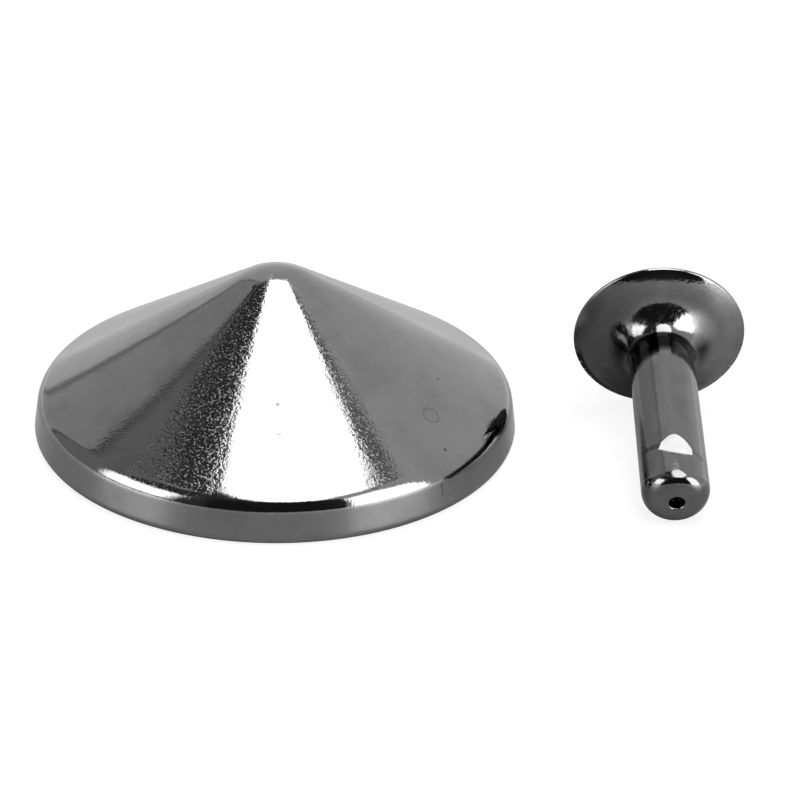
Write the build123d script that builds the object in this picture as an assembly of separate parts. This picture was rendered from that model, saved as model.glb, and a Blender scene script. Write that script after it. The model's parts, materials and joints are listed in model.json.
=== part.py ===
from build123d import *
import math
import os

# A two-part cap rivet for leather, lying open: a tall conical cap that stands on its rim, and the post
# that is set into it, which lies beside the cap on the edge of its own head and on its rounded tip.
# Millimetres. +Z is up, and Z = 0 is the plane that both halves rest on. The cap's axis is the Z axis.

# Conical cap
cap_diameter = 20.0
cap_height = 7.1
cap_sheet = 0.3
tightest_bend = 0.02         # inside radius of a bend that is pressed flat
apex_radius = 2.9            # rounding of the cone's point, on the outside
shoulder_height = 1.72       # where the flank's line meets the skirt's line
skirt_lean = 0.25            # how much smaller the skirt's radius is at that height than at the base
shoulder_radius = 0.9
hem_radius = 0.34            # outside of the bend where the skirt turns in under the plate
lip_width = 1.0              # the turned-in lip, measured inward from the cap's edge
lip_edge_radius = 0.1

# Plate with the drawn socket, held in the cap by the lip
plate_sheet = 0.3
plate_clearance = 0.05
plate_edge_radius = 0.08
socket_clearance = 0.06      # radial, between the shank and the socket
socket_wall = 0.25
socket_depth = 2.3           # length of the drawn collar above the plate
mouth_radius = 0.12          # rounding of the socket's mouth
draw_radius = 0.35           # bend between the plate and the collar
collar_edge_radius = 0.06

# Post: hollow, deep drawn from one piece, with a trumpet-shaped flange at the head end. Slopes are degrees
# between the face's normal and the shank's axis: 90 on the shank, least in the dish, and more again at the rim.
shank_diameter = 2.68
post_length = 10.28          # from the middle of the rim's rounding to the tip
post_wall = 0.3
flange_sheet = 0.24
root_radius = 1.0            # the tight bend next to the shank
root_slope = 50.0            # where the tight bend runs into the wide one
dish_radius = 2.0            # the wide bend of the dish
dish_slope = 15.0            # where the dish runs into the rounded outer zone
rim_slope = 32.0
tip_radius = 0.78            # rounding of the closed end
tip_wall = 1.9               # the closed end, from the hollow's rounded bottom to the tip
dimple_diameter = 0.44
dimple_depth = 0.14

# The nick pressed into the shank where the tip begins, on the side that lies uppermost
nick_to_tip = 1.75           # from the nick's deep end to the tip
nick_length = 1.05
nick_depth = 0.2
nick_skew = 14.0             # degrees that the deep end is out of square

# Head of the post: the flange is closed by a domed cap whose edge is folded round it and pressed flush
head_diameter = 7.13
head_sheet = 0.18
head_fit = 0.02              # between the flange and the inside of the fold
dome_height = 1.15           # the dome's top, measured from the middle of the rim's rounding
rim_radius = 0.1             # rounding of the rim
fold_width = 0.3             # from the head's widest edge to the end of the folded sheet
fold_sheet = 0.1             # the sheet is thinner where it is pressed flush with the face
fold_edge_radius = 0.04

# Where the post lies beside the cap
post_x = 16.0
post_y = 1.375
post_turn = -2.87            # degrees about the vertical; at 0 the shank points along -Y

cap_radius = cap_diameter / 2
shank_radius = shank_diameter / 2
head_radius = head_diameter / 2
socket_radius = shank_radius + socket_clearance

# Angles of the cap's outline: the flank is tangent to the ball of the apex and runs to the shoulder corner
corner_radius = cap_radius - skirt_lean
ball_centre = cap_height - apex_radius
corner_reach = math.hypot(corner_radius, ball_centre - shoulder_height)
flank_slope = math.atan2(ball_centre - shoulder_height, corner_radius) + math.asin(apex_radius / corner_reach)
skirt_slope = math.atan2(skirt_lean, shoulder_height)
flank_normal = Vector(math.sin(flank_slope), math.cos(flank_slope))
skirt_normal = Vector(math.cos(skirt_slope), math.sin(skirt_slope))
base_normal = Vector(0, -1)


def inset_corner(corner, normal_a, normal_b, inset):
    """The corner of two straight walls after both are moved inward by the same distance."""
    return corner - (normal_a + normal_b) * (inset / (1 + normal_a.dot(normal_b)))


def cap_section(inset):
    """Half section of the cap's outside, filled, moved inward by inset."""
    ball = apex_radius - inset
    top = Vector(0, ball_centre + ball)
    middle = Vector(ball * math.sin(flank_slope / 2), ball_centre + ball * math.cos(flank_slope / 2))
    flank_start = Vector(ball * math.sin(flank_slope), ball_centre + ball * math.cos(flank_slope))
    shoulder = inset_corner(Vector(corner_radius, shoulder_height), flank_normal, skirt_normal, inset)
    hem = inset_corner(Vector(cap_radius, 0), skirt_normal, base_normal, inset)
    foot = Vector(0, inset)
    outline = [
        ThreePointArc(top, middle, flank_start),
        Line(flank_start, shoulder),
        Line(shoulder, hem),
        Line(hem, foot),
        Line(foot, top),
    ]
    section = make_face(outline)
    corners = section.vertices()
    section = fillet(corners.sort_by_distance(shoulder)[0], shoulder_radius - inset)
    return fillet(section.vertices().sort_by_distance(hem)[0], max(hem_radius - inset, tightest_bend))


def turned(section):
    """A half section, drawn as radius and height, turned into a solid about the Z axis."""
    return revolve(Plane.XZ * section, axis=Axis.Z)


def corner_at(section, radius, height):
    return section.vertices().sort_by_distance(Vector(radius, height))[0]


def skirt_inner_radius(height):
    """Inside radius of the cap's skirt at a height above the base."""
    return cap_radius - cap_sheet / math.cos(skirt_slope) - height * math.tan(skirt_slope)


def make_cone_shell():
    lip_radius = cap_radius - lip_width
    mouth = Pos(lip_radius / 2, 0) * Rectangle(lip_radius, 4 * cap_sheet)
    section = cap_section(0) - cap_section(cap_sheet) - mouth
    section = fillet(corner_at(section, lip_radius, 0), lip_edge_radius)
    section = fillet(corner_at(section, lip_radius, cap_sheet), lip_edge_radius)
    return turned(section)


def make_socket_plate():
    bottom = cap_sheet
    top = bottom + plate_sheet
    edge = skirt_inner_radius(top) - plate_clearance
    collar_radius = socket_radius + socket_wall
    collar_top = top + socket_depth
    section = make_face(Polyline(
        (socket_radius, bottom), (edge, bottom), (edge, top), (collar_radius, top),
        (collar_radius, collar_top), (socket_radius, collar_top), close=True))
    section = fillet(corner_at(section, socket_radius, bottom), mouth_radius)
    section = fillet(corner_at(section, collar_radius, top), draw_radius)
    section = fillet([corner_at(section, edge, bottom), corner_at(section, edge, top)], plate_edge_radius)
    collar_edges = [corner_at(section, collar_radius, collar_top), corner_at(section, socket_radius, collar_top)]
    return turned(fillet(collar_edges, collar_edge_radius))


# The post is drawn upright, tip upwards, as radius and height above the middle of the rim's rounding

rim_centre = head_radius - rim_radius
tip_start = post_length - tip_radius
tip_flat_radius = shank_radius - tip_radius
hollow_radius = shank_radius - post_wall
hollow_end = post_length - tip_wall
nick_end = post_length - nick_to_tip
fold_end = head_radius - fold_width


def off_axis(slope):
    """Unit vector, as radius and height, that leans away from the shank's axis by a slope in degrees."""
    return Vector(math.sin(math.radians(slope)), math.cos(math.radians(slope)))


# The head's face: a rounded outer zone, the dish, and the tight bend into the shank, each tangent to the next
root_edge = shank_radius + root_radius * (1 - off_axis(root_slope).X)
dish_edge = root_edge + dish_radius * (off_axis(root_slope).X - off_axis(dish_slope).X)
rim_tangent = Vector(rim_centre, 0) + off_axis(rim_slope) * rim_radius
crown_radius = (rim_tangent.X - dish_edge) / (off_axis(rim_slope).X - off_axis(dish_slope).X)
crown_centre = rim_tangent - off_axis(rim_slope) * crown_radius
dish_centre = crown_centre + off_axis(dish_slope) * (crown_radius + dish_radius)
root_centre = dish_centre - off_axis(root_slope) * (dish_radius - root_radius)

# The domed side: one arc, tangent to the rim's rounding
dome_rise = dome_height - rim_radius
dome_axis_height = (rim_centre ** 2 - dome_rise ** 2) / (2 * dome_rise)
dome_radius = dome_axis_height + dome_height
dome_centre = Vector(0, dome_axis_height)


def bend(centre, radius, start, end):
    """A circular arc about centre, between two angles in degrees."""
    return CenterArc(centre, radius, start, end - start)


def convex(radius, start_slope, end_slope):
    """An arc of the face's outer zone."""
    return bend(crown_centre, radius, 90 - start_slope, 90 - end_slope)


def concave(centre, radius, start_slope, end_slope):
    """An arc of the dish or of the bend into the shank."""
    return bend(centre, radius, 270 - start_slope, 270 - end_slope)


def inside_fold(fit):
    """The space that the domed cap leaves free for the flange, less a fit, as a filled half section."""
    end = fold_end - fit
    over_dome = Pos(dome_centre) * Circle(dome_radius - head_sheet - fit)
    over_dome += Pos(end / 2, post_length) * Rectangle(end, 2 * post_length)
    under_fold = Pos(crown_centre) * Circle(crown_radius - fold_sheet - fit)
    under_fold += Pos(end / 2, 0) * Rectangle(end, 4 * post_length)
    return over_dome & under_fold


def post_section():
    back_root = dish_centre - off_axis(root_slope) * (dish_radius + flange_sheet)
    hollow_bend = (back_root.X - hollow_radius) / (1 - off_axis(root_slope).X)
    hollow_centre = back_root + off_axis(root_slope) * hollow_bend
    hollow_ball = hollow_end - hollow_radius
    back_rim = crown_centre + off_axis(rim_slope) * (crown_radius - flange_sheet)
    outline = [
        convex(crown_radius, rim_slope, dish_slope),
        concave(dish_centre, dish_radius, dish_slope, root_slope),
        concave(root_centre, root_radius, root_slope, 90),
        Line((shank_radius, root_centre.Y), (shank_radius, tip_start)),
        bend((tip_flat_radius, tip_start), tip_radius, 0, 90),
        Line((tip_flat_radius, post_length), (0, post_length)),
        Line((0, post_length), (0, hollow_end)),
        bend((0, hollow_ball), hollow_radius, 90, 0),
        Line((hollow_radius, hollow_ball), (hollow_radius, hollow_centre.Y)),
        concave(hollow_centre, hollow_bend, 90, root_slope),
        concave(dish_centre, dish_radius + flange_sheet, root_slope, dish_slope),
        convex(crown_radius - flange_sheet, dish_slope, rim_slope),
        Line(back_rim, rim_tangent),
    ]
    return make_face(outline) & inside_fold(head_fit)


def dimple_section():
    half = dimple_diameter / 2
    ball = (half ** 2 + dimple_depth ** 2) / (2 * dimple_depth)
    return Pos(0, post_length - dimple_depth + ball) * Circle(ball)


def make_nick():
    """The space that the nick leaves: a shallow ramp towards the tip, with a steep end."""
    outside = 2 * shank_radius
    ramp = make_face(Polyline(
        (shank_radius, -nick_length), (shank_radius - nick_depth, 0), (outside, 0), (outside, -nick_length),
        close=True))
    wedge = extrude(Plane.XZ * ramp, amount=outside, both=True)
    return Pos(0, 0, nick_end) * Rot(-nick_skew, 0, 180) * wedge


def make_rivet_post():
    blank = turned(post_section())
    dimple = turned(dimple_section() & Pos(shank_radius, post_length) * Rectangle(2 * shank_radius, post_length))
    return blank - dimple - make_nick()


def head_outside():
    """Filled half section of the whole head: face, rim and dome."""
    tangent = math.degrees(math.atan2(-dome_axis_height, rim_centre))
    crown_start = crown_centre + off_axis(dish_slope) * crown_radius
    return make_face([
        convex(crown_radius, dish_slope, rim_slope),
        bend((rim_centre, 0), rim_radius, 90 - rim_slope, tangent),
        bend(dome_centre, dome_radius, tangent, -90),
        Line((0, -dome_height), (0, crown_start.Y)),
        Line((0, crown_start.Y), crown_start),
    ])


def make_post_cap():
    section = head_outside() - inside_fold(0)
    crown_height = math.sqrt(crown_radius ** 2 - (fold_end - crown_centre.X) ** 2)
    fold_edge = corner_at(section, fold_end, crown_centre.Y + crown_height)
    return turned(fillet(fold_edge, fold_edge_radius))


def resting_tilt():
    """The shank's tilt, in radians, when the head's edge and the rounded tip both touch the floor."""
    drop = rim_centre - tip_flat_radius
    reach = math.hypot(tip_start, drop)
    return math.atan2(drop, tip_start) - math.asin((tip_radius - rim_radius) / reach)


def lying_plane():
    """Where the post lies: local Z runs down the shank to the tip, local -X is its upper side."""
    tilt = resting_tilt()
    turn = math.radians(post_turn)
    heading = Vector(math.sin(turn), -math.cos(turn), 0)
    upward = Vector(0, 0, 1)
    along_shank = heading * math.cos(tilt) - upward * math.sin(tilt)
    under_side = (heading * math.sin(tilt) + upward * math.cos(tilt)) * -1
    head_height = rim_centre * math.cos(tilt) + rim_radius
    return Plane(origin=(post_x, post_y, head_height), x_dir=under_side, z_dir=along_shank)


lying = lying_plane().location
pieces = {
    "cone_shell": make_cone_shell(),
    "socket_plate": make_socket_plate(),
    "rivet_post": lying * make_rivet_post(),
    "post_cap": lying * make_post_cap(),
}

os.makedirs("parts", exist_ok=True)
for name, piece in pieces.items():
    export_step(piece, f"parts/{name}.step")
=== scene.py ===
"""Looks of an open two-part cap rivet: a conical cap on its rim and the hollow post beside it."""

import json
import math

import bmesh
import bpy
from bpy.props import FloatProperty, FloatVectorProperty, IntProperty, PointerProperty
from mathutils import Matrix, Vector


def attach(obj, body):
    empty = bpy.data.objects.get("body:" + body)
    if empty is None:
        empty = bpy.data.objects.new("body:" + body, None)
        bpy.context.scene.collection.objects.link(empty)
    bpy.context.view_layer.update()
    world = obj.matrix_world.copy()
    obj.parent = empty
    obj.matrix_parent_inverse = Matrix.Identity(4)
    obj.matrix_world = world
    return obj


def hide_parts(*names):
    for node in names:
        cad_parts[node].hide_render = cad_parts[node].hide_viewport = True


bl_info = {
    "name": "Cap Rivet",
    "version": (1, 0, 0),
    "blender": (4, 5, 0),
    "location": "3D View > Sidebar > Rivet",
    "description": "Turned metal pieces of a two-part cap rivet, their dark nickel finish and a small studio",
    "category": "Object",
}

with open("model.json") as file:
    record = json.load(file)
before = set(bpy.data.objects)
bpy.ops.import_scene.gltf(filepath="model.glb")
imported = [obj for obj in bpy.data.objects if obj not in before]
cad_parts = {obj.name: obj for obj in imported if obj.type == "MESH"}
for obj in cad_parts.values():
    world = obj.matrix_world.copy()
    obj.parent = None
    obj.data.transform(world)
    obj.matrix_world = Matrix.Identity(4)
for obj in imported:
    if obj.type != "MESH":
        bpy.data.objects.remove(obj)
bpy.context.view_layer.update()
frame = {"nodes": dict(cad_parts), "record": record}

MM = 0.001  # pieces are drawn in millimetres and brought to metres when they are done
SHORTEST_RUN = 1e-5  # in millimetres; anything shorter is left out of a drawn line
WELD = 1e-4  # in millimetres; points of a turned piece that are this close become one
LEAST_BEND = 0.02  # in millimetres; the tightest bend inside the hem
CREASE = math.radians(32)  # faces that meet at more than this are shaded with a sharp edge

HOLE_TAPER = 0.88  # width of the hole's floor as a share of its mouth
HOLE_BENDS = (0.09, 0.07)  # in millimetres; rounding of the hole's floor and of its mouth
NICK_ROWS = (1.2, 3.0)  # in millimetres from the tip; between these the shank is drawn finely
NICK_LEAN = 0.04  # the nick is a little deeper towards the post's left side
NICK_POWER = 1.3  # the nick's ramp grows steeper towards its deep end
LOWERING = 0.3  # in millimetres; the upper side comes down over this run before the deep end
PRESSED = (0.2, 0.95)  # how far upward a side faces, up to 1, where its tighter bend begins and is full
LOWERED = (0.2, 1.0)  # the same for lying lower
UNPRESSED = 0.6  # share of the hole's width up to which the tip's end stays as it is

# Sectors of the conical cap with a coarser surface, left and right of the front: from and to, in radians,
# and how coarse
PEEL_PATCHES = ((-2.24, -1.82, 1.0), (-1.16, -0.93, 0.55))

# Height in metres at which the conical cap's flank begins above its skirt
FLANK_Z = (0.0014, 0.0019)

# Marks on the conical cap in millimetres: centre of the line's circle, its radius, the line's width,
# the spot where the mark lies and how far it reaches from there
CAP_MARKS = (
    ((6.12, -4.74, 2.93), 0.34, 0.040, (6.12, -4.74, 2.93), 1.0),
    ((9.02, 0.00, 2.16), 0.24, 0.035, (9.02, 0.00, 2.16), 1.0),
    ((3.71, -8.52, 1.99), 0.24, 0.060, (3.71, -8.52, 1.99), 1.0),
    ((7.69, -0.96, 2.94), 1.95, 0.035, (8.50, 0.78, 2.45), 0.50),
    ((9.20, -0.30, 2.02), 0.42, 0.040, (9.10, -0.68, 2.10), 0.33),
    ((3.68, -3.57, 4.85), 3.00, 0.035, (5.31, -1.17, 4.31), 0.24),
    ((-6.90, 4.20, 3.00), 3.08, 0.030, (-6.50, 1.20, 3.60), 0.70),
    ((-7.70, 3.50, 2.60), 3.05, 0.030, (-7.50, 0.50, 3.10), 0.50),
    ((-5.00, -2.10, 4.30), 3.02, 0.030, (-5.30, 0.90, 4.30), 0.40),
    ((7.99, -6.14, 1.10), 2.00, 0.070, (6.48, -7.45, 1.10), 0.32),
    ((4.73, 59.4, 7.77), 59.97, 0.045, (-5.17, 0.38, 4.47), 5.2),
)

# Zones of the post in metres, each from where its mask is 0 to where it is 1: X downward, Y to the right,
# Z from the rim to the tip, AWAY from the axis and IN inward from the rim's edge
# COLLAR and UNDER zones: painted shade where the shank runs into the flange
COLLAR_START_Z = (0.00139, 0.00150)
COLLAR_END_Z = (0.0029, 0.0022)
COLLAR_ARCH = 0.0012  # the painted shade of the collar reaches this much farther along the sides than on top
UNDER_X = (-0.0007, -0.0001)
UNDER_AWAY = (0.0023, 0.0017)
UNDER_Z = (0.0026, 0.0019)
# SHANK_AWAY and LEFT_EDGE_Y: painted shade on the shank, more on its left edge
SHANK_AWAY = (0.0017, 0.0014)
LEFT_EDGE_Y = (-0.0008, -0.0012)
# FACE_AWAY also bounds the painted shade on the face's left and lower part
FACE_AWAY = (0.0015, 0.0022)
HAZE_AWAY = (0.0020, 0.0028)
FLARE_START_AWAY = (0.0014, 0.0016)
FLARE_END_AWAY = (0.0028, 0.0022)
BACK_Z = (-0.00008, -0.00020)
# HOLE_AWAY and HOLE_Z: painted shade inside the hole in the tip
HOLE_AWAY = (0.00032, 0.00028)
HOLE_Z = (0.0060, 0.0062)
# LOW_RIM_X, RIM_IN and RIM_ARC_IN: where the rim's painted dark reflections and painted glints lie
LOW_RIM_X = (-0.0004, 0.0006)
RIM_IN = (0.00015, 0.00009)
RIM_ARC_IN = (0.00032, 0.00022)

# Painted dashes on the rim, dark ones as painted reflections of shade and bright ones as painted glints: how
# close they are, the noise where a dark and a bright one begins and is full, and how bright a bright one is
DASH_TURN = 9.0
DARK_REFLECTION_DASH = (0.50, 0.42)
GLINT_DASH = (0.57, 0.61)
GLINT_GAIN = 3.0

# Panels that only reflections see. The overhead ones are level, with corners as x and y in metres.
OVERHEAD = 0.6
CARDS_OVERHEAD = 0.61
SOFTBOX_TOP = (
    (-0.136, 0.053), (-0.147, -0.312), (-0.062, -0.47), (0.064, -0.523), (0.22, -0.438), (0.30, -0.174),
    (0.30, -0.057), (0.23, 0.089), (0.125, 0.365), (-0.09, 0.365),
)
CARD_LEFT = (
    (-0.27, -0.50), (-0.10, -0.55), (-0.10, 0.35), (-0.38, 0.35), (-0.362, 0.217), (-0.349, 0.16),
    (-0.326, 0.119), (-0.293, 0.075),
)
CARD_RIGHT = ((0.10, 0.09), (0.24, -0.03), (0.33, -0.10), (0.33, 0.12), (0.22, 0.16))
CARD_FRONT = ((-0.31, -0.5, 0.001), (0.31, -0.5, 0.001), (0.36, -0.5, 0.62), (-0.31, -0.5, 0.62))

# Directions of the side softboxes in degrees: from the front, positive to the right, and from overhead
SOFTBOX_RIGHT = ((34, 89), (72, 89), (71, 50), (58, 42), (36, 50))
SOFTBOX_LEFT = (-67.0, 70.0)
SOFTBOX_DISTANCE = 0.6
SOFTBOX_LEFT_HALVES = (0.24, 0.21)
SOFT_EDGE = 0.45  # share of the left softbox's half width over which it fades
SOFT_REST = 0.25  # radiance that is left at its edges

# Walls from the table up: name, directions from the front in degrees, zenith of the upper edge, radiance
WALLS = (
    ("wall_left", (-88, -105, -122.5), 27, 0.42),
    ("wall_gap", (-122.5, -124.5), 27, 0.12),
    ("wall_back_left", (-124.5, -135, -147), 27, 0.72),
    ("wall_corner", (-147, -149.5), 27, 0.4),
    ("wall_front_left", (-26, -45, -65, -88), 30, 0.08),
)
WALL_DISTANCE = 1.2
TABLE_ZENITH = 89.9
DARK, BLACK, DIM = 0.08, 0.03, 0.3  # radiances of the left, front and right cards

WHITE = (1.0, 1.0, 1.0, 1.0)


def length(name, description, default):
    return FloatProperty(
        name=name, description=description, default=default, min=0.0, unit="LENGTH", subtype="DISTANCE",
        precision=5
    )


def angle(name, description, degrees):
    return FloatProperty(
        name=name, description=description, default=math.radians(degrees), unit="ROTATION", subtype="ANGLE"
    )


def number(name, description, default):
    return FloatProperty(name=name, description=description, default=default, min=0.0)


def steps_round(default):
    return IntProperty(name="Steps round", description="Divisions of a full turn", default=default, min=32)


class CapSizes(bpy.types.PropertyGroup):
    """Sizes of the conical cap."""

    diameter: length("Diameter", "Across the foot of the skirt", 0.020)
    height: length("Height", "From the table to the point", 0.0071)
    sheet: length("Sheet", "Thickness of the stamped sheet", 0.0003)
    point_radius: length("Point", "Rounding of the cone's point", 0.0029)
    shoulder_height: length("Shoulder height", "Where the flank's line meets the skirt's line", 0.00172)
    skirt_lean: length("Skirt lean", "Inward lean of the skirt up to the shoulder", 0.00025)
    shoulder_radius: length("Shoulder", "Rounding between flank and skirt", 0.0009)
    hem_radius: length("Hem", "Rounding where the skirt turns in", 0.00034)
    lip_width: length("Lip", "Width of the turned-in lip", 0.001)
    lip_edge: length("Lip edge", "Rounding of the lip's edge", 0.0001)
    turns: steps_round(320)


class PostSizes(bpy.types.PropertyGroup):
    """Sizes of the hollow post, along its own axis from the middle of the rim's rounding."""

    shank_diameter: length("Shank", "Diameter of the shank", 0.00268)
    reach: length("Length", "From the rim to the tip", 0.01028)
    wall: length("Wall", "Thickness of the shank's wall", 0.0003)
    flange_sheet: length("Flange sheet", "Thickness of the flange", 0.00024)
    root_radius: length("Root bend", "Tight bend next to the shank", 0.001)
    dish_radius: length("Dish", "Wide bend of the dish", 0.002)
    root_slope: angle("Root slope", "Where the tight bend meets the wide one", 50.0)
    dish_slope: angle("Dish slope", "Where the dish meets the outer zone", 15.0)
    rim_slope: angle("Rim slope", "Slope of the face at the rim", 32.0)
    tip_radius: length("Tip", "Rounding of the closed end", 0.00078)
    tip_wall: length("Tip wall", "From the hollow to the tip", 0.0019)
    hole_diameter: length("Hole", "Width of the blind hole in the tip", 0.00062)
    hole_depth: length("Hole depth", "Depth of the blind hole in the tip", 0.00042)
    nick_to_tip: length("Nick to tip", "From the nick's deep end to the tip", 0.00175)
    nick_length: length("Nick length", "Length of the nick's ramp", 0.00078)
    nick_depth: length("Nick depth", "Depth of the nick's deep end", 0.00025)
    nick_skew: angle("Nick skew", "How far the deep end is out of square", 14.0)
    nick_rise: length("Nick rise", "Run of the rise past the deep end", 0.0005)
    pressed_down: length("Pressed down", "How much lower the upper side lies past the nick", 0.00006)
    pressed_tip: length("Pressed tip", "Rounding of the tip on the pressed side", 0.00052)
    turns: steps_round(256)


class HeadSizes(bpy.types.PropertyGroup):
    """Sizes of the small domed cap on the post."""

    diameter: length("Diameter", "Across the rim", 0.00713)
    sheet: length("Sheet", "Thickness of the sheet", 0.00018)
    dome_height: length("Dome", "From the rim's middle to the dome's top", 0.00115)
    rim_radius: length("Rim", "Rounding of the rim", 0.0001)
    fold_width: length("Fold", "From the rim's edge to the folded sheet's end", 0.0003)
    fold_sheet: length("Folded sheet", "Thickness where the sheet is pressed flush", 0.0001)
    fold_gap: length("Fold gap", "Between the folded sheet and the flange", 0.000004)
    turns: steps_round(256)


class Plating(bpy.types.PropertyGroup):
    """The dark nickel finish and its wear."""

    colour: FloatVectorProperty(
        name="Colour", description="Colour of the plating", default=(0.205, 0.205, 0.207), subtype="COLOR",
        min=0.0, max=1.0
    )
    roughness: number("Roughness", "Roughness of the polish", 0.07)
    peel_grain: length("Peel grain", "Size of one grain of the fine unevenness", 0.00011)
    peel_height: length("Peel height", "Height of the fine unevenness", 0.000002)
    patch_gain: number("Patch gain", "How much higher the peel is in its patches", 2.5)
    wave_length: length("Waves", "Size of the broad unevenness", 0.0016)
    wave_height: length("Wave height", "Height of the broad unevenness", 0.000004)
    stain_depth: number("Stains", "How dark the stains are", 0.14)
    grain_dull: number("Dull grains", "Extra roughness of the grains in the patches", 0.27)
    mark_depth: number("Marks", "How dark scratches and rings are", 0.5)
    cap_bright: number("Cap brightness", "Share of the colour on the conical cap", 1.04)
    post_bright: number("Post brightness", "Share of the colour on the post and its head", 1.12)
    plate_bright: number("Plate brightness", "Share of the colour on the hidden plate", 0.83)
    plate_rough: number("Plate roughness", "Roughness of the hidden plate", 0.22)


class Studio(bpy.types.PropertyGroup):
    """Camera and light."""

    lens: number("Lens", "Focal length in millimetres", 109.19)
    camera_turn: FloatVectorProperty(
        name="Camera turn", description="Camera angles", subtype="EULER",
        default=tuple(math.radians(a) for a in (62.380, -1.5316, -2.4941))
    )
    camera_place: FloatVectorProperty(
        name="Camera place", description="Where the camera stands", subtype="XYZ", unit="LENGTH",
        default=(0.0, -0.0893456, 0.0479152)
    )
    top_light: number("Top light", "Radiance of the overhead softbox", 6.0)
    side_light: number("Right light", "Radiance of the right softbox", 6.0)
    left_light: number("Left light", "Radiance of the left softbox", 6.0)
    fill_light: number("Fill light", "Light from all round on matt things", 0.25)


def nothing_selected():
    bpy.ops.object.select_all(action="DESELECT")


def start_line(name, start):
    """Begins a drawn half section with one vertex, in edit mode."""
    nothing_selected()
    bpy.ops.mesh.primitive_plane_add(size=1.0, location=(0.0, 0.0, 0.0))
    bpy.context.object.name = name
    bpy.context.object.data.name = name
    bpy.ops.object.mode_set(mode="EDIT")
    bpy.ops.mesh.select_all(action="SELECT")
    bpy.ops.mesh.merge(type="CENTER")
    bpy.ops.transform.translate(value=(start.x, 0.0, start.y))
    return bpy.context.object


def straight_to(here, there, pieces):
    """Extrudes the line's end straight on, in equal pieces."""
    step = (there - here) / pieces
    for _ in range(pieces):
        bpy.ops.mesh.extrude_vertices_move(TRANSFORM_OT_translate={"value": (step.x, 0.0, step.y)})


def bend_about(centre, here, there, pieces):
    """Spins the line's end about a centre in the section's plane, the short way round."""
    a, b = here - centre, there - centre
    turn = math.atan2(a.cross(b), a.dot(b))
    bpy.ops.mesh.spin(
        steps=pieces, angle=abs(turn), center=(centre.x, 0.0, centre.y),
        axis=(0.0, math.copysign(1.0, turn), 0.0)
    )


def rounded_line(corners):
    """Turns corners (radius, height, rounding, pieces of the run before, pieces of the bend) into steps."""
    points = [Vector(c[:2]) for c in corners]
    steps, here = [], points[0]
    for i in range(1, len(corners)):
        radius, run_pieces, bend_pieces = corners[i][2:5]
        if i == len(corners) - 1 or radius == 0.0:
            steps.append((points[i], run_pieces))
            here = points[i]
            continue
        before = (points[i - 1] - points[i]).normalized()
        after = (points[i + 1] - points[i]).normalized()
        turn = math.pi - before.angle(after)
        reach = radius * math.tan(turn / 2)
        enter, leave = points[i] + before * reach, points[i] + after * reach
        centre = points[i] + (before + after).normalized() * (radius / math.cos(turn / 2))
        if (enter - here).length > SHORTEST_RUN:
            steps.append((enter, run_pieces))
        steps.append((leave, bend_pieces, centre))
        here = leave
    return steps


def draw(name, start, steps):
    """Draws the half section from its start along steps: an end, its pieces and, for a bend, its centre."""
    piece = start_line(name, start)
    here = start
    for there, pieces, *centre in steps:
        if centre:
            bend_about(centre[0], here, there, pieces)
        else:
            straight_to(here, there, pieces)
        here = there
    return piece


def turn_solid(turns):
    """Spins the drawn half section once round the upright axis and closes it."""
    bpy.ops.mesh.select_all(action="SELECT")
    bpy.ops.mesh.spin(steps=turns, angle=2 * math.pi, center=(0.0, 0.0, 0.0), axis=(0.0, 0.0, 1.0))
    bpy.ops.mesh.select_all(action="SELECT")
    bpy.ops.mesh.remove_doubles(threshold=WELD)
    bpy.ops.mesh.select_all(action="SELECT")
    bpy.ops.mesh.normals_make_consistent(inside=False)
    bpy.ops.object.mode_set(mode="OBJECT")


def settle(piece, place, material, node):
    """Smooths a piece, brings it from millimetres to its place in metres and hands it to the frame."""
    bpy.ops.object.shade_smooth_by_angle(angle=CREASE)
    nothing_selected()
    piece.select_set(True)
    bpy.context.view_layer.objects.active = piece
    piece.matrix_world = place @ Matrix.Scale(MM, 4)
    bpy.ops.object.transform_apply(location=True, rotation=True, scale=True)
    piece.data.materials.clear()
    piece.data.materials.append(material)
    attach(piece, "root")
    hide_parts(node)


def mm(value):
    return value / MM


def cap_line(sizes):
    """Corners of the conical cap's wall, from the point outside, round the hem, to the point inside."""
    radius, height, sheet = mm(sizes.diameter) / 2, mm(sizes.height), mm(sizes.sheet)
    point, shoulder_height, lean = mm(sizes.point_radius), mm(sizes.shoulder_height), mm(sizes.skirt_lean)
    shoulder, hem, lip_edge = mm(sizes.shoulder_radius), mm(sizes.hem_radius), mm(sizes.lip_edge)
    corner = radius - lean
    rise = height - point - shoulder_height
    slope = math.atan2(rise, corner) + math.asin(point / math.hypot(corner, rise))
    skirt = math.atan2(lean, shoulder_height)
    flank_out = Vector((math.sin(slope), math.cos(slope)))
    skirt_out = Vector((math.cos(skirt), math.sin(skirt)))

    def moved_in(place, a, b):
        return place - (a + b) * (sheet / (1 + a.dot(b)))

    inner_shoulder = moved_in(Vector((corner, shoulder_height)), flank_out, skirt_out)
    inner_hem = moved_in(Vector((radius, 0.0)), skirt_out, Vector((0.0, -1.0)))
    lip = radius - mm(sizes.lip_width)
    top_reach = math.tan(slope / 2)
    return [
        (0.0, height, 0.0, 0, 0),
        (point * top_reach, height, point, 1, 28),
        (corner, shoulder_height, shoulder, 44, 26),
        (radius, 0.0, hem, 8, 16),
        (lip, 0.0, lip_edge, 3, 5),
        (lip, sheet, lip_edge, 1, 5),
        (inner_hem.x, inner_hem.y, max(hem - sheet, LEAST_BEND), 3, 4),
        (inner_shoulder.x, inner_shoulder.y, shoulder - sheet, 4, 10),
        ((point - sheet) * top_reach, height - sheet, point - sheet, 16, 10),
        (0.0, height - sheet, 0.0, 1, 0),
    ]


def off_axis(slope):
    """Unit vector, as radius and height, that leans away from the post's axis by a slope."""
    return Vector((math.sin(slope), math.cos(slope)))


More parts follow.
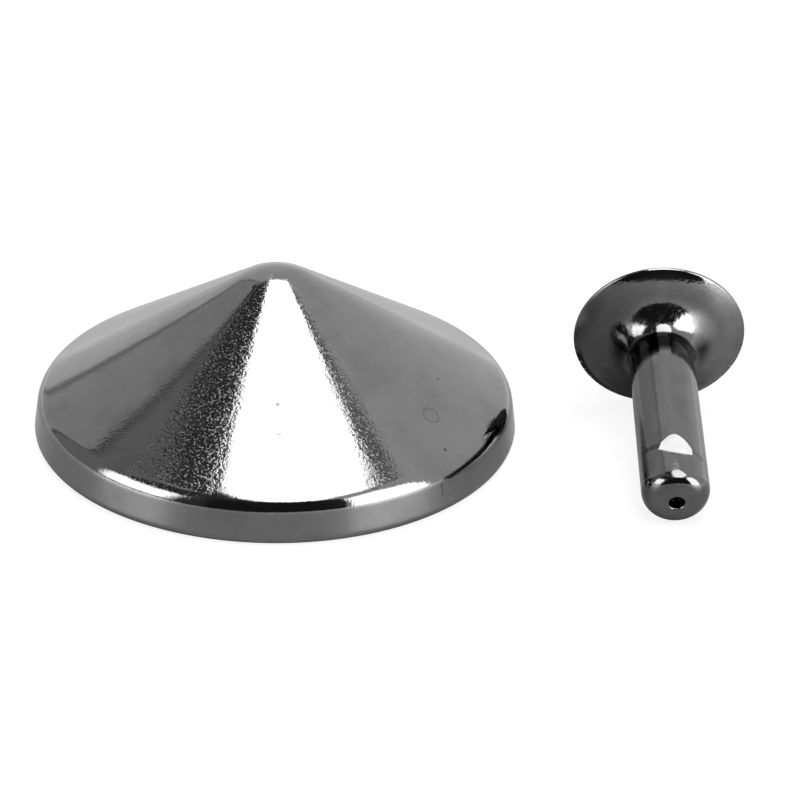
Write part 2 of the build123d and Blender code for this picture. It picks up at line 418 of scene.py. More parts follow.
def where_circles_meet(a, radius_a, b, radius_b):
    """The meeting point of two circles that lies farther from the axis."""
    apart = b - a
    along = (apart.length_squared + radius_a ** 2 - radius_b ** 2) / (2 * apart.length)
    across = math.sqrt(radius_a ** 2 - along ** 2)
    onward = apart.normalized()
    middle = a + onward * along
    side = Vector((-onward.y, onward.x)) * across
    return max(middle + side, middle - side, key=lambda point: point.x)


def at_radius(centre, arc_radius, radius):
    """The upper point of a circle at a distance from the axis."""
    return Vector((radius, centre.y + math.sqrt(arc_radius ** 2 - (radius - centre.x) ** 2)))


class HeadCurves:
    """Centres and meeting points of the arcs of the post's head, in millimetres."""

    def __init__(self):
        post, head = bpy.context.scene.rivet_post, bpy.context.scene.rivet_head
        self.shank = mm(post.shank_diameter) / 2
        root, self.dish = mm(post.root_radius), mm(post.dish_radius)
        rim, dome = mm(head.rim_radius), mm(head.dome_height)
        self.root_out, self.dish_out = off_axis(post.root_slope), off_axis(post.dish_slope)
        rim_out = off_axis(post.rim_slope)
        self.rim_centre = Vector((mm(head.diameter) / 2 - rim, 0.0))
        self.rim_tangent = self.rim_centre + rim_out * rim
        root_edge = self.shank + root * (1 - self.root_out.x)
        dish_edge = root_edge + self.dish * (self.root_out.x - self.dish_out.x)
        self.crown = (self.rim_tangent.x - dish_edge) / (rim_out.x - self.dish_out.x)
        self.crown_centre = self.rim_tangent - rim_out * self.crown
        self.dish_centre = self.crown_centre + self.dish_out * (self.crown + self.dish)
        self.root_centre = self.dish_centre - self.root_out * (self.dish - root)
        rise = dome - rim
        axis_height = (self.rim_centre.x ** 2 - rise ** 2) / (2 * rise)
        self.dome_centre = Vector((0.0, axis_height))
        self.dome = axis_height + dome
        self.dome_tangent = self.rim_centre + (self.rim_centre - self.dome_centre).normalized() * rim
        self.fold_end = mm(head.diameter) / 2 - mm(head.fold_width)


def post_steps(curves):
    """The post's wall, from the middle of the tip, along the shank, round the flange, into the hollow."""
    sizes, head = bpy.context.scene.rivet_post, bpy.context.scene.rivet_head
    reach, tip, sheet = mm(sizes.reach), mm(sizes.tip_radius), mm(sizes.flange_sheet)
    hole, depth = mm(sizes.hole_diameter) / 2, mm(sizes.hole_depth)
    hollow = curves.shank - mm(sizes.wall)
    hollow_end = reach - mm(sizes.tip_wall)
    gap = mm(head.fold_gap)
    under_fold = curves.crown - mm(head.fold_sheet) - gap
    over_dome = curves.dome - mm(head.sheet) - gap
    tip_centre = Vector((curves.shank - tip, reach - tip))
    floor_bend, mouth_bend = HOLE_BENDS
    hole_line = rounded_line([
        (0.0, reach - depth, 0.0, 0, 0),
        (hole * HOLE_TAPER, reach - depth, floor_bend, 3, 5),
        (hole, reach, mouth_bend, 4, 7),
        (tip_centre.x, reach, 0.0, 6, 0),
    ])
    back_root = curves.dish_centre - curves.root_out * (curves.dish + sheet)
    hollow_bend = (back_root.x - hollow) / (1 - curves.root_out.x)
    hollow_centre = back_root + curves.root_out * hollow_bend
    crown, dome = curves.crown_centre, curves.dome_centre
    return Vector((0.0, reach - depth)), hole_line + [
        (Vector((curves.shank, tip_centre.y)), 28, tip_centre),
        (Vector((curves.shank, reach - NICK_ROWS[0])), 8),
        (Vector((curves.shank, reach - NICK_ROWS[1])), 90),
        (Vector((curves.shank, curves.root_centre.y)), 30),
        (curves.dish_centre - curves.root_out * curves.dish, 20, curves.root_centre),
        (curves.dish_centre - curves.dish_out * curves.dish, 32, curves.dish_centre),
        (at_radius(crown, curves.crown, curves.fold_end - gap), 24, crown),
        (at_radius(crown, under_fold, curves.fold_end - gap), 1),
        (where_circles_meet(crown, under_fold, dome, over_dome), 1),
        (where_circles_meet(crown, curves.crown - sheet, dome, over_dome), 1),
        (crown + curves.dish_out * (curves.crown - sheet), 10, crown),
        (back_root, 10, curves.dish_centre),
        (Vector((hollow, hollow_centre.y)), 10, hollow_centre),
        (Vector((hollow, hollow_end - hollow)), 8),
        (Vector((0.0, hollow_end)), 10, Vector((0.0, hollow_end - hollow))),
    ]


def eased(value, low, high):
    """0 below low, 1 above high and a smooth rise between them."""
    share = min(max((value - low) / (high - low), 0.0), 1.0)
    return share * share * (3 - 2 * share)


def press_tip(place, end, sizes):
    """Moves a point of the tip so that the pressed side lies lower and bends more tightly."""
    away = math.hypot(place.x, place.y)
    if away == 0.0:
        return
    upward = -place.x / away
    pressed, lowered = eased(upward, *PRESSED), eased(upward, *LOWERED)
    radius, tip, tight = mm(sizes.shank_diameter) / 2, mm(sizes.tip_radius), mm(sizes.pressed_tip)
    reach, drop = mm(sizes.reach), mm(sizes.pressed_down)
    bend_start = reach - tip
    flat, tight_flat = radius - tip, radius - drop * lowered - tight
    share = pressed
    if place.z > bend_start and away >= flat:
        turn = math.atan2(place.z - bend_start, away - flat)
        target = tight_flat + tight * math.cos(turn)
        height = reach - tight + tight * math.sin(turn)
    elif place.z > bend_start:
        rim = mm(sizes.hole_diameter) * UNPRESSED
        target = away + max(away - rim, 0.0) / (flat - rim) * (tight_flat - flat)
        height = place.z
    else:
        share = 1.0
        target = radius - drop * lowered * eased(place.z, end - LOWERING, end)
        height = place.z + (tip - tight) * max(place.z - end, 0.0) / (bend_start - end)
    scale = 1 + share * (target / away - 1)
    place.x *= scale
    place.y *= scale
    place.z += pressed * (height - place.z)


def press_nick(piece):
    """Presses the nick into the post, before it is laid down: -X will lie uppermost, +Z leads to the tip."""
    sizes = bpy.context.scene.rivet_post
    radius, depth = mm(sizes.shank_diameter) / 2, mm(sizes.nick_depth)
    drop, rise = mm(sizes.pressed_down), mm(sizes.nick_rise)
    wall = radius - mm(sizes.wall) / 2
    deep_end = mm(sizes.reach) - mm(sizes.nick_to_tip)
    start = deep_end - mm(sizes.nick_length)
    closed = mm(sizes.reach) - mm(sizes.tip_radius)
    form = bmesh.new()
    form.from_mesh(piece.data)
    for vertex in form.verts:
        place = vertex.co
        away = math.hypot(place.x, place.y)
        if place.z < start - LOWERING or (place.z < closed and away < wall):
            continue
        end = deep_end + place.y * math.tan(sizes.nick_skew)
        press_tip(place, end, sizes)
        if place.x < 0.0 and start < place.z < end + rise:
            left = 1 - max(place.z - end, 0.0) / rise
            ramp = drop + (depth - drop) * left ** 2
            if place.z < end:
                ramp = depth * ((place.z - start) / (end - start)) ** NICK_POWER
            place.x = max(place.x, ramp - radius - NICK_LEAN * place.y)
    form.to_mesh(piece.data)
    form.free()


def head_steps(curves):
    """The small domed cap, from the dome's top, round the rim, under the folded edge, to its inside."""
    head = bpy.context.scene.rivet_head
    crown, dome = curves.crown_centre, curves.dome_centre
    under_fold, inside = curves.crown - mm(head.fold_sheet), curves.dome - mm(head.sheet)
    return Vector((0.0, -mm(head.dome_height))), [
        (curves.dome_tangent, 32, dome),
        (curves.rim_tangent, 12, curves.rim_centre),
        (at_radius(crown, curves.crown, curves.fold_end), 10, crown),
        (at_radius(crown, under_fold, curves.fold_end), 1),
        (where_circles_meet(crown, under_fold, dome, inside), 2),
        (dome - Vector((0.0, inside)), 16, dome),
    ]


def post_place():
    """Where the post lies: its own upright axis runs down the shank, and its -X side lies uppermost."""
    shank = next(m for m in frame["record"]["mounts"] if m["name"] == "shank")
    sizes = bpy.context.scene.rivet_post
    along = Vector(shank["axis"]).normalized()
    straight_start = HeadCurves().root_centre.y * MM
    straight_end = sizes.reach - sizes.tip_radius
    origin = Vector(shank["pos_m"]) - along * ((straight_start + straight_end) / 2)
    side = along.cross(Vector((0.0, 0.0, 1.0))).normalized()
    under = side.cross(along) * -1
    turned = Matrix((under, along.cross(under), along)).transposed().to_4x4()
    return Matrix.Translation(origin) @ turned


def feed(tree, socket, value):
    """Links another socket into this one, or gives it a fixed value."""
    if isinstance(value, bpy.types.NodeSocket):
        tree.links.new(value, socket)
    else:
        socket.default_value = value


def feed_all(tree, node, values):
    """Feeds a node's inputs; the keys are their names with spaces as underscores."""
    for key, value in values.items():
        feed(tree, node.inputs[key.replace("_", " ")], value)
    return node


def add_node(tree, kind, **values):
    return feed_all(tree, tree.nodes.new("ShaderNode" + kind), values)


def math_node(tree, operation, *values, kind="Math", output="Value"):
    node = add_node(tree, kind)
    node.operation = operation
    for socket, value in zip(node.inputs, values):
        feed(tree, socket, value)
    return node.outputs[output]


def vector_node(tree, operation, *values, output="Vector"):
    return math_node(tree, operation, *values, kind="VectorMath", output=output)


def times(tree, a, b):
    return math_node(tree, "MULTIPLY", a, b)


def plus(tree, a, b):
    return math_node(tree, "ADD", a, b)


def minus(tree, a, b):
    return math_node(tree, "SUBTRACT", a, b)


def noise(tree, vector, scale, detail=2.0, roughness=0.5):
    node = add_node(tree, "TexNoise", Vector=vector, Scale=scale, Detail=detail, Roughness=roughness)
    return node.outputs["Fac"]


def smooth_step(tree, value, low, high):
    """0 at low, 1 at high, smooth between; numbers or sockets."""
    node = add_node(tree, "MapRange", Value=value, From_Min=low, From_Max=high)
    node.interpolation_type = "SMOOTHSTEP"
    return node.outputs["Result"]


def axes(tree, vector):
    return add_node(tree, "SeparateXYZ", Vector=vector).outputs


def from_axis(tree, place):
    """How far a place is from the piece's own upright axis."""
    flat = vector_node(tree, "MULTIPLY", place, (1.0, 1.0, 0.0))
    return vector_node(tree, "LENGTH", flat, output="Value")


def faded(tree, bright, masks):
    """A brightness darkened by masks, each given with how dark it is at most."""
    for mask, depth in masks:
        bright = times(tree, bright, minus(tree, 1.0, times(tree, mask, depth)))
    return bright


def dulled(tree, rough, masks):
    """A roughness raised by masks, each given with how much it adds at most."""
    for mask, extra in masks:
        rough = plus(tree, rough, times(tree, mask, extra))
    return rough


def new_group(name, output, **inputs):
    """An empty node group with one output, a vector input and numbers; None stands for more vectors."""
    group = bpy.data.node_groups.new(name, "ShaderNodeTree")
    for key, default in {"Vector": None, **inputs}.items():
        kind = "NodeSocketVector" if default is None else "NodeSocketFloat"
        made = group.interface.new_socket(name=key.replace("_", " "), in_out="INPUT", socket_type=kind)
        if default is not None:
            made.default_value = default
    group.interface.new_socket(name=output, in_out="OUTPUT", socket_type="NodeSocketFloat")
    given = group.nodes.new("NodeGroupInput").outputs
    return group, given, group.nodes.new("NodeGroupOutput").inputs[0]


def add_group(tree, build, vector, **values):
    """Adds the node group that a function builds, which bears the function's name."""
    name = build.__name__.replace("_", " ").capitalize()
    node = tree.nodes.new("ShaderNodeGroup")
    node.node_tree = bpy.data.node_groups.get(name) or build(name)
    return feed_all(tree, node, {"Vector": vector, **values}).outputs[0]


def uneven_surface(name):
    """Group: the height of the sheet's fine orange peel and its broad waves, in metres."""
    group, given, result = new_group(
        name, "Height", Grain=0.0001, Grain_height=0.0, Wave=0.001, Wave_height=0.0
    )
    heights = [
        times(
            group, noise(group, given["Vector"], math_node(group, "DIVIDE", 1.0, given[size]), detail=1.0),
            given[size + " height"]
        )
        for size in ("Grain", "Wave")
    ]
    feed(group, result, plus(group, *heights))
    return group


def stains(name):
    """Group: cloudy stains with uneven edges, 0 to 1."""
    group, given, result = new_group(name, "Stain", Size=0.002)
    scale = math_node(group, "DIVIDE", 1.0, given["Size"])
    cloud = noise(group, given["Vector"], scale, detail=6.0, roughness=0.62)
    feed(group, result, smooth_step(group, cloud, low=0.42, high=0.66))
    return group


def specks(name):
    """Group: small scattered specks, 1 in a speck and 0 between."""
    group, given, result = new_group(name, "Speck", Spacing=0.001, Size=0.06, Share=0.5)
    ragged = (0.00012, 0.00012, 0.00012)
    wander = add_node(group, "TexNoise", Vector=given["Vector"], Scale=9000.0).outputs["Color"]
    place = vector_node(group, "ADD", given["Vector"], vector_node(group, "MULTIPLY", wander, ragged))
    scale = math_node(group, "DIVIDE", 1.0, given["Spacing"])
    spots = add_node(group, "TexVoronoi", Vector=place, Scale=scale).outputs
    inside = math_node(group, "LESS_THAN", spots["Distance"], given["Size"])
    pick = add_node(group, "SeparateColor", Color=spots["Color"]).outputs["Red"]
    feed(group, result, times(group, inside, math_node(group, "LESS_THAN", pick, given["Share"])))
    return group


def grains(name):
    """Group: dense small grains, 1 in a grain and 0 between."""
    group, given, result = new_group(name, "Grain", Size=0.0001)
    texture = noise(group, given["Vector"], math_node(group, "DIVIDE", 1.0, given["Size"]), detail=1.0)
    feed(group, result, smooth_step(group, texture, low=0.46, high=0.74))
    return group


def arc_mark(name):
    """Group: a thin wobbly line along a circle about a centre, kept within a reach of a spot."""
    group, given, result = new_group(
        name, "Mark", Centre=None, Radius=0.001, Width=0.00003, Spot=None, Reach=0.001
    )
    wobble, fade_from = 0.00016, 0.8
    centred = minus(group, noise(group, given["Vector"], scale=2500.0), 0.5)
    away = vector_node(group, "DISTANCE", given["Vector"], given["Centre"], output="Value")
    off = minus(group, plus(group, away, times(group, centred, wobble)), given["Radius"])
    line = smooth_step(group, math_node(group, "ABSOLUTE", off), given["Width"], 0.0)
    near = vector_node(group, "DISTANCE", given["Vector"], given["Spot"], output="Value")
    share = math_node(group, "DIVIDE", near, given["Reach"])
    feed(group, result, times(group, line, smooth_step(group, share, 1.0, fade_from)))
    return group


def between_angles(name):
    """Group: 1 between two angles about the piece's axis, in radians, with soft ragged edges."""
    group, given, result = new_group(name, "Share", From=0.0, To=1.0, Edge=0.02)
    ragged = 0.12
    parts = axes(group, given["Vector"])
    centred = minus(group, noise(group, given["Vector"], scale=6000.0), 0.5)
    turn = plus(group, math_node(group, "ARCTAN2", parts["Y"], parts["X"]), times(group, centred, ragged))
    enter = smooth_step(group, turn, given["From"], plus(group, given["From"], given["Edge"]))
    leave = smooth_step(group, turn, given["To"], minus(group, given["To"], given["Edge"]))
    feed(group, result, times(group, enter, leave))
    return group


def own_place(tree, place=None):
    """Object coordinates, turned back into the piece's own frame if it was laid down."""
    vector = add_node(tree, "TexCoord").outputs["Object"]
    if place is None:
        return vector
    moved, turned = place.to_translation(), place.to_euler()
    back = add_node(tree, "Mapping", Vector=vector, Location=moved, Rotation=turned)
    back.vector_type = "TEXTURE"
    return back.outputs["Vector"]


def bare_metal(name):
    """A metal material, its node tree and its shader."""
    plating = bpy.context.scene.rivet_plating
    material = bpy.data.materials.new(name)
    material.use_nodes = True
    shader = material.node_tree.nodes["Principled BSDF"]
    shader.inputs["Base Color"].default_value = (*plating.colour, 1.0)
    shader.inputs["Metallic"].default_value = 1.0
    shader.inputs["Roughness"].default_value = plating.roughness
    return material, material.node_tree, shader


def link_finish(tree, shader, height, bright, rough):
    """Links the surface's height in metres, the brightness of the plating's colour and the roughness."""
    bump = add_node(tree, "Bump", Strength=1.0, Distance=1.0, Height=height)
    tint = vector_node(tree, "MULTIPLY", bpy.context.scene.rivet_plating.colour, bright)
    feed_all(tree, shader, {"Normal": bump.outputs["Normal"], "Base_Color": tint, "Roughness": rough})


def streaks(tree, vector, across, along, height):
    """Height of fine lines along the piece's axis, in metres."""
    stretched = vector_node(tree, "MULTIPLY", vector, (1 / across, 1 / across, 1 / along))
    return times(tree, noise(tree, stretched, scale=1.0, detail=3.0, roughness=0.6), height)


def peel(tree, place, grain=1.0, grain_height=1.0, wave=1.0, wave_height=1.0):
    """Height of the plating's unevenness, in metres, with each of its sizes scaled."""
    plating = bpy.context.scene.rivet_plating
    return add_group(
        tree, uneven_surface, place, Grain=plating.peel_grain * grain,
        Grain_height=times(tree, grain_height, plating.peel_height), Wave=plating.wave_length * wave,
        Wave_height=plating.wave_height * wave_height
    )


def cap_marks(tree, place):
    """Mask of the conical cap's rings and scratches and of long thin dark lines across its flank."""
    marks = 0.0
    for centre, radius, width, spot, reach in CAP_MARKS:
        mark = add_group(
            tree, arc_mark, place, Centre=tuple(v * MM for v in centre), Radius=radius * MM,
            Width=width * MM, Spot=tuple(v * MM for v in spot), Reach=reach * MM
        )
        marks = plus(tree, marks, mark)
    return math_node(tree, "MINIMUM", marks, 1.0)


def peel_patches(tree, place):
    """Mask of the conical cap's sectors with a coarser surface."""
    patches = 0.0
    for start, end, share in PEEL_PATCHES:
        sector = add_group(tree, between_angles, place, From=start, To=end, Edge=0.03)
        patches = plus(tree, patches, times(tree, share, sector))
    flank = smooth_step(tree, axes(tree, place)["Z"], *FLANK_Z)
    return times(tree, math_node(tree, "MINIMUM", patches, 1.0), flank)


def cap_material():
    """Plating of the conical cap: orange peel, stains, rings and scratches."""
    plating = bpy.context.scene.rivet_plating
    material, tree, shader = bare_metal("cap plating")
    place = own_place(tree)
    patch = peel_patches(tree, place)
    gain = plus(tree, 1.0, times(tree, patch, plating.patch_gain - 1.0))
    skin = peel(tree, place, grain_height=gain)
    lines = streaks(tree, place, across=0.0003, along=0.003, height=0.0000015)
    stain = add_group(tree, stains, place, Size=0.0022)
    fine = add_group(tree, specks, place, Spacing=0.0011, Size=0.07, Share=0.3)
    dull = times(tree, patch, add_group(tree, grains, place, Size=0.00009))
    bright = faded(tree, plating.cap_bright, (
        (stain, plating.stain_depth), (fine, 0.55), (cap_marks(tree, place), plating.mark_depth)
    ))
    rough = dulled(tree, plating.roughness, ((dull, plating.grain_dull), (stain, 0.04)))
    link_finish(tree, shader, plus(tree, skin, lines), bright, rough)
    return material


def dark_root(tree, parts, away):
    """Mask of painted shade where the shank runs into the flange, most of all on the lower side."""
    upward = math_node(tree, "DIVIDE", parts["X"], times(tree, away, -1.0))
    arched = plus(tree, parts["Z"], times(tree, minus(tree, upward, 1.0), COLLAR_ARCH))
    start, end = smooth_step(tree, parts["Z"], *COLLAR_START_Z), smooth_step(tree, arched, *COLLAR_END_Z)
    under = times(tree, smooth_step(tree, parts["X"], *UNDER_X), smooth_step(tree, away, *UNDER_AWAY))
    under = times(tree, under, smooth_step(tree, parts["Z"], *UNDER_Z))
    return math_node(tree, "MAXIMUM", times(tree, start, end), under)


def rim_wear(tree, place, parts, away):
    """Masks of the rim's painted dark reflections, in dashes on its lower side and an arc at its lower left,
    and of painted glints in dashes on its lower side.
    """
    inward = minus(tree, bpy.context.scene.rivet_head.diameter / 2, away)
    rim = times(tree, smooth_step(tree, parts["X"], *LOW_RIM_X), smooth_step(tree, inward, *RIM_IN))
    turn = times(tree, math_node(tree, "ARCTAN2", parts["Y"], parts["X"]), DASH_TURN)
    around = add_node(tree, "CombineXYZ", X=turn).outputs[0]
    dashes = noise(tree, around, scale=2.2, detail=3.0, roughness=0.7)
    low_left = add_group(tree, between_angles, place, From=-1.5, To=-0.1, Edge=0.3)
    arc = times(tree, smooth_step(tree, inward, *RIM_ARC_IN), low_left)
    dark = math_node(tree, "MAXIMUM", arc, times(tree, rim, smooth_step(tree, dashes, *DARK_REFLECTION_DASH)))
    return dark, times(tree, rim, smooth_step(tree, dashes, *GLINT_DASH))


def post_material(name):
    """Plating of the post and its head: soft shine and drawn lines on the shank, painted shade at the root,
    on the shank, on the face and in the hole, and painted dark reflections and glints on the rim.
    """
    plating = bpy.context.scene.rivet_plating
    material, tree, shader = bare_metal(name)
    place = own_place(tree, post_place())
    parts, away = axes(tree, place), from_axis(tree, place)
    skin = peel(tree, place, grain=1.4, grain_height=1.6, wave=0.5, wave_height=0.8)
    lines = streaks(tree, place, across=0.00018, along=0.0025, height=0.0000045)
    cloud = streaks(tree, place, across=0.0004, along=0.004, height=1.0)
    stain = add_group(tree, stains, place, Size=0.0013)
    fine = add_group(tree, specks, place, Spacing=0.0009, Size=0.07, Share=0.25)
    # Painted shade: the shank is darkened, and its left edge more
    shank = smooth_step(tree, away, *SHANK_AWAY)
    shaded_left_edge = times(tree, shank, smooth_step(tree, parts["Y"], *LEFT_EDGE_Y))
    face = smooth_step(tree, away, *FACE_AWAY)
    # Painted shade on the face's left and lower part
    shaded_lower_left = add_group(tree, between_angles, place, From=-3.1, To=1.3, Edge=0.9)
    back = smooth_step(tree, parts["Z"], *BACK_Z)
    # Painted shade inside the hole in the tip
    hole = times(tree, smooth_step(tree, away, *HOLE_AWAY), smooth_step(tree, parts["Z"], *HOLE_Z))
    # Painted dark reflections and painted glints on the rim
    dark, painted_glints = rim_wear(tree, place, parts, away)
    # The root's mask in this list is painted shade where the shank runs into the flange
    bright = faded(tree, plating.post_bright, (
        (stain, plating.stain_depth), (cloud, 0.25), (fine, 0.4), (dark_root(tree, parts, away), 0.97),
        (shank, 0.22), (shaded_left_edge, 0.4), (times(tree, face, shaded_lower_left), 0.42),
        (times(tree, back, face), 0.5), (hole, 0.93), (dark, 0.95)
    ))
    # The painted glints make the rim brighter than the plating
    bright = plus(tree, bright, times(tree, painted_glints, GLINT_GAIN))
    hazy = add_group(tree, between_angles, place, From=-2.6, To=-0.5, Edge=0.5)
    haze = times(tree, hazy, smooth_step(tree, away, *HAZE_AWAY))
    flare = times(tree, smooth_step(tree, away, *FLARE_START_AWAY), smooth_step(tree, away, *FLARE_END_AWAY))
    dull = times(tree, flare, add_group(tree, grains, place, Size=0.00013))
    rough = dulled(tree, plating.roughness, ((dull, 0.16), (stain, 0.06), (haze, 0.26), (back, 0.25)))
    link_finish(tree, shader, plus(tree, skin, lines), bright, rough)
    return material


def plate_material():
    """The hidden plate: duller and darker than the caps, with rings from the press tool."""
    plating = bpy.context.scene.rivet_plating
    material, tree, shader = bare_metal("plate plating")
    place = own_place(tree)
    ring_spacing, ring_height = 0.00022, 0.0000006
    skin = peel(tree, place, grain=1.6, grain_height=3.0)
    rings = math_node(tree, "SINE", times(tree, from_axis(tree, place), 2 * math.pi / ring_spacing))
    stain = add_group(tree, stains, place, Size=0.003)
    fine = add_group(tree, specks, place, Spacing=0.0012, Size=0.1, Share=0.5)
    bright = faded(tree, plating.plate_bright, ((stain, 0.3), (fine, 0.5)))
    rough = dulled(tree, plating.plate_rough, ((stain, 0.16),))
    link_finish(tree, shader, plus(tree, skin, times(tree, rings, ring_height)), bright, rough)
    return material


class RIVET_OT_cone_cap(bpy.types.Operator):
    """Draws and turns the conical cap"""

    bl_idname = "rivet.cone_cap"
    bl_label = "Conical cap"

    def execute(self, context):
        sizes = context.scene.rivet_cap
        corners = cap_line(sizes)
        piece = draw("cap_shell", Vector(corners[0][:2]), rounded_line(corners))
        turn_solid(sizes.turns)
        settle(piece, Matrix.Identity(4), cap_material(), "cone_shell")
        return {"FINISHED"}


class RIVET_OT_socket_plate(bpy.types.Operator):
    """Gives the hidden socket plate its finish"""

    bl_idname = "rivet.socket_plate"
    bl_label = "Socket plate"

    def execute(self, context):
        plate = frame["nodes"]["socket_plate"]
        plate.data.materials.clear()
        plate.data.materials.append(plate_material())
        return {"FINISHED"}


class RIVET_OT_post(bpy.types.Operator):
    """Draws and turns the hollow post and presses its nick"""

    bl_idname = "rivet.post"
    bl_label = "Post"

    def execute(self, context):
        piece = draw("post_shank", *post_steps(HeadCurves()))
        turn_solid(context.scene.rivet_post.turns)
        press_nick(piece)
        settle(piece, post_place(), post_material("post plating"), "rivet_post")
        return {"FINISHED"}


class RIVET_OT_post_cap(bpy.types.Operator):
    """Draws and turns the small domed cap of the post"""

    bl_idname = "rivet.post_cap"
    bl_label = "Post's cap"

    def execute(self, context):
        piece = draw("head_cap", *head_steps(HeadCurves()))
        turn_solid(context.scene.rivet_head.turns)
        settle(piece, post_place(), post_material("head plating"), "post_cap")
        return {"FINISHED"}


def cleared_tree(owner):
    """The emptied node tree of a material or a world."""
    owner.use_nodes = True
    owner.node_tree.nodes.clear()
    return owner.node_tree


def mixed(tree, share, first, second):
    """A mix of two shaders by a number or by a socket."""
    mix = tree.nodes.new("ShaderNodeMixShader")
    for socket, value in zip(mix.inputs, (share, first.outputs[0], second.outputs[0])):
        feed(tree, socket, value)
    return mix


def emission_material(name, radiance):
    material = bpy.data.materials.new(name)
    tree = cleared_tree(material)
    glow = add_node(tree, "Emission", Color=WHITE, Strength=radiance)
    add_node(tree, "OutputMaterial", Surface=glow.outputs[0])
    return material


def panel(name, corners, radiance):
    """A flat glowing stage panel through its corner points, seen only in reflections."""
    mesh = bpy.data.meshes.new(name)
    mesh.from_pydata([tuple(c) for c in corners], [], [tuple(range(len(corners)))])
    mesh.materials.append(emission_material(name, radiance))
    board = bpy.data.objects.new(name, mesh)
    bpy.context.scene.collection.objects.link(board)
    board.visible_camera = False


def level(corners, height):
    return [(x, y, height) for x, y in corners]


def toward(azimuth, zenith, distance):
    """A point by its degrees from the front, positive to the right, and from overhead, seen from the cap."""
    a, z = math.radians(azimuth), math.radians(zenith)
    return Vector((math.sin(a) * math.sin(z), -math.cos(a) * math.sin(z), math.cos(z))) * distance


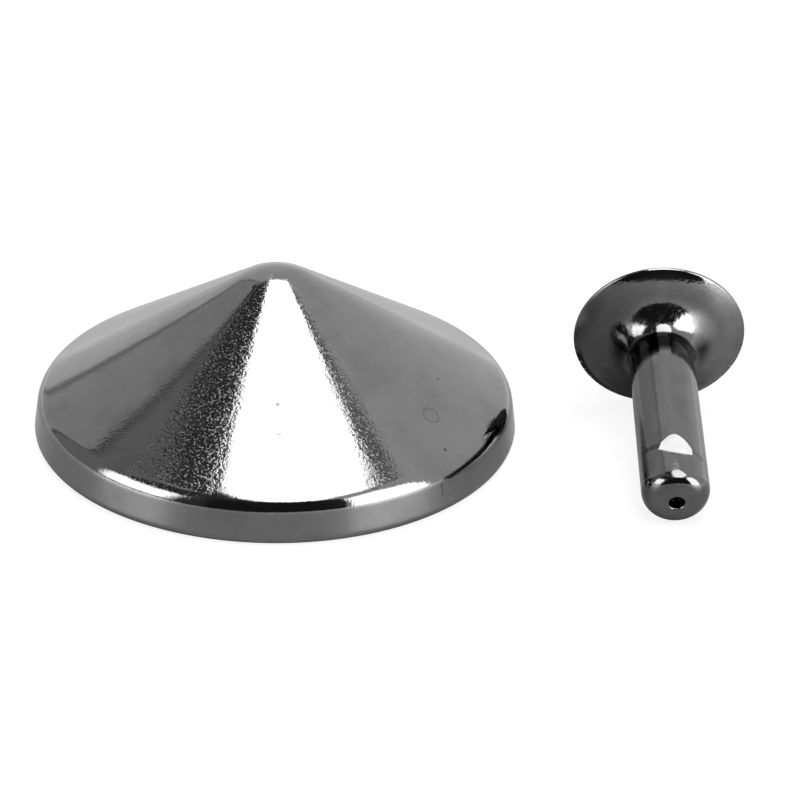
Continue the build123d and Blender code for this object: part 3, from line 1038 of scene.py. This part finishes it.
class RIVET_OT_studio(bpy.types.Operator):
    """Sets up floor, light and camera"""

    bl_idname = "rivet.studio"
    bl_label = "Studio"

    def execute(self, context):
        studio = context.scene.rivet_studio
        self.floor()
        panel("softbox_top", level(SOFTBOX_TOP, OVERHEAD), studio.top_light)
        panel("card_left", level(CARD_LEFT, CARDS_OVERHEAD), DARK)
        panel("card_right", level(CARD_RIGHT, CARDS_OVERHEAD), DIM)
        panel("card_front", CARD_FRONT, BLACK)
        panel("softbox_right", [toward(*d, SOFTBOX_DISTANCE) for d in SOFTBOX_RIGHT], studio.side_light)
        for wall in WALLS:
            self.wall(*wall)
        self.left_softbox(studio.left_light)
        self.surroundings(studio.fill_light)
        self.camera(studio)
        context.scene.view_settings.view_transform = "Standard"
        return {"FINISHED"}

    def wall(self, name, azimuths, top, radiance):
        """A bent wall from the table up, through a few directions."""
        for i, (a, b) in enumerate(zip(azimuths, azimuths[1:])):
            directions = ((a, TABLE_ZENITH), (a, top), (b, top), (b, TABLE_ZENITH))
            panel(f"{name}_{i}", [toward(*d, WALL_DISTANCE) for d in directions], radiance)

    def left_softbox(self, radiance):
        """A softbox that fades towards its edges."""
        material = emission_material("softbox_left", radiance)
        tree = material.node_tree
        parts = axes(tree, own_place(tree))
        fades = [
            smooth_step(tree, minus(tree, 1.0, math_node(tree, "ABSOLUTE", parts[axis])), 0.0, SOFT_EDGE)
            for axis in ("X", "Y")
        ]
        power = plus(tree, times(tree, times(tree, *fades), radiance), SOFT_REST)
        feed(tree, tree.nodes["Emission"].inputs["Strength"], power)
        nothing_selected()
        bpy.ops.mesh.primitive_plane_add(size=2.0)
        board = bpy.context.object
        board.name = "softbox_left"
        outward = toward(*SOFTBOX_LEFT, 1.0)
        board.matrix_world = Matrix.LocRotScale(
            outward * SOFTBOX_DISTANCE, outward.to_track_quat("Z", "Y"), Vector((*SOFTBOX_LEFT_HALVES, 1.0))
        )
        board.data.materials.append(material)
        board.visible_camera = False

    def floor(self):
        """A pale floor that keeps shadows, and is darker with a soft sheen where the metal mirrors it."""
        nothing_selected()
        bpy.ops.mesh.primitive_plane_add(size=6.0, location=(0.0, 0.0, -0.00001))
        floor = bpy.context.object
        floor.name = "floor"
        material = bpy.data.materials.new("floor")
        tree = cleared_tree(material)
        matt = add_node(tree, "BsdfDiffuse", Color=(0.8, 0.8, 0.8, 1.0))
        pale = mixed(tree, 0.85, matt, add_node(tree, "Emission"))
        dim = add_node(tree, "BsdfDiffuse", Color=(0.28, 0.28, 0.28, 1.0))
        gloss = add_node(tree, "BsdfGlossy", Color=WHITE, Roughness=0.45)
        mirrored = mixed(tree, add_node(tree, "Fresnel", IOR=1.5).outputs[0], dim, gloss)
        seen = mixed(tree, add_node(tree, "LightPath").outputs["Is Glossy Ray"], pale, mirrored)
        add_node(tree, "OutputMaterial", Surface=seen.outputs[0])
        floor.data.materials.append(material)

    def surroundings(self, fill_light):
        """White for the camera and for mirrors, and a weak even light on matt things."""
        world = bpy.data.worlds.new("studio surroundings")
        bpy.context.scene.world = world
        tree = cleared_tree(world)
        rays = add_node(tree, "LightPath").outputs
        share = math_node(tree, "MAXIMUM", rays["Is Camera Ray"], rays["Is Glossy Ray"])
        share = math_node(tree, "MAXIMUM", share, rays["Is Transmission Ray"])
        light = add_node(tree, "Background", Color=WHITE, Strength=fill_light)
        seen = add_node(tree, "Background", Color=WHITE, Strength=1.0)
        add_node(tree, "OutputWorld", Surface=mixed(tree, share, light, seen).outputs[0])

    def camera(self, studio):
        lens = bpy.data.cameras.new("camera")
        lens.lens = studio.lens
        lens.sensor_width = 36.0
        lens.clip_start = 0.002
        lens.clip_end = 20.0
        camera = bpy.data.objects.new("camera", lens)
        camera.location = studio.camera_place
        camera.rotation_euler = studio.camera_turn
        bpy.context.scene.collection.objects.link(camera)
        bpy.context.scene.camera = camera


class RIVET_PT_rivet(bpy.types.Panel):
    """Buttons for the rivet's pieces"""

    bl_idname = "RIVET_PT_rivet"
    bl_label = "Cap rivet"
    bl_space_type = "VIEW_3D"
    bl_region_type = "UI"
    bl_category = "Rivet"

    def draw(self, context):
        for operator in OPERATORS:
            self.layout.operator(operator.bl_idname)
        for settings in SETTINGS:
            group = getattr(context.scene, settings)
            column = self.layout.column(align=True)
            for name in group.bl_rna.properties.keys():
                if name not in ("rna_type", "name"):
                    column.prop(group, name)


SETTINGS = {
    "rivet_cap": CapSizes,
    "rivet_post": PostSizes,
    "rivet_head": HeadSizes,
    "rivet_plating": Plating,
    "rivet_studio": Studio,
}
OPERATORS = (RIVET_OT_cone_cap, RIVET_OT_socket_plate, RIVET_OT_post, RIVET_OT_post_cap, RIVET_OT_studio)


def register():
    for group in SETTINGS.values():
        bpy.utils.register_class(group)
    for operator in OPERATORS:
        bpy.utils.register_class(operator)
    bpy.utils.register_class(RIVET_PT_rivet)
    for name, group in SETTINGS.items():
        setattr(bpy.types.Scene, name, PointerProperty(type=group))


def unregister():
    for name in SETTINGS:
        delattr(bpy.types.Scene, name)
    bpy.utils.unregister_class(RIVET_PT_rivet)
    for operator in reversed(OPERATORS):
        bpy.utils.unregister_class(operator)
    for group in SETTINGS.values():
        bpy.utils.unregister_class(group)


def main():
    register()
    bpy.ops.rivet.cone_cap()
    bpy.ops.rivet.socket_plate()
    bpy.ops.rivet.post()
    bpy.ops.rivet.post_cap()
    bpy.ops.rivet.studio()


if __name__ == "__main__":
    main()
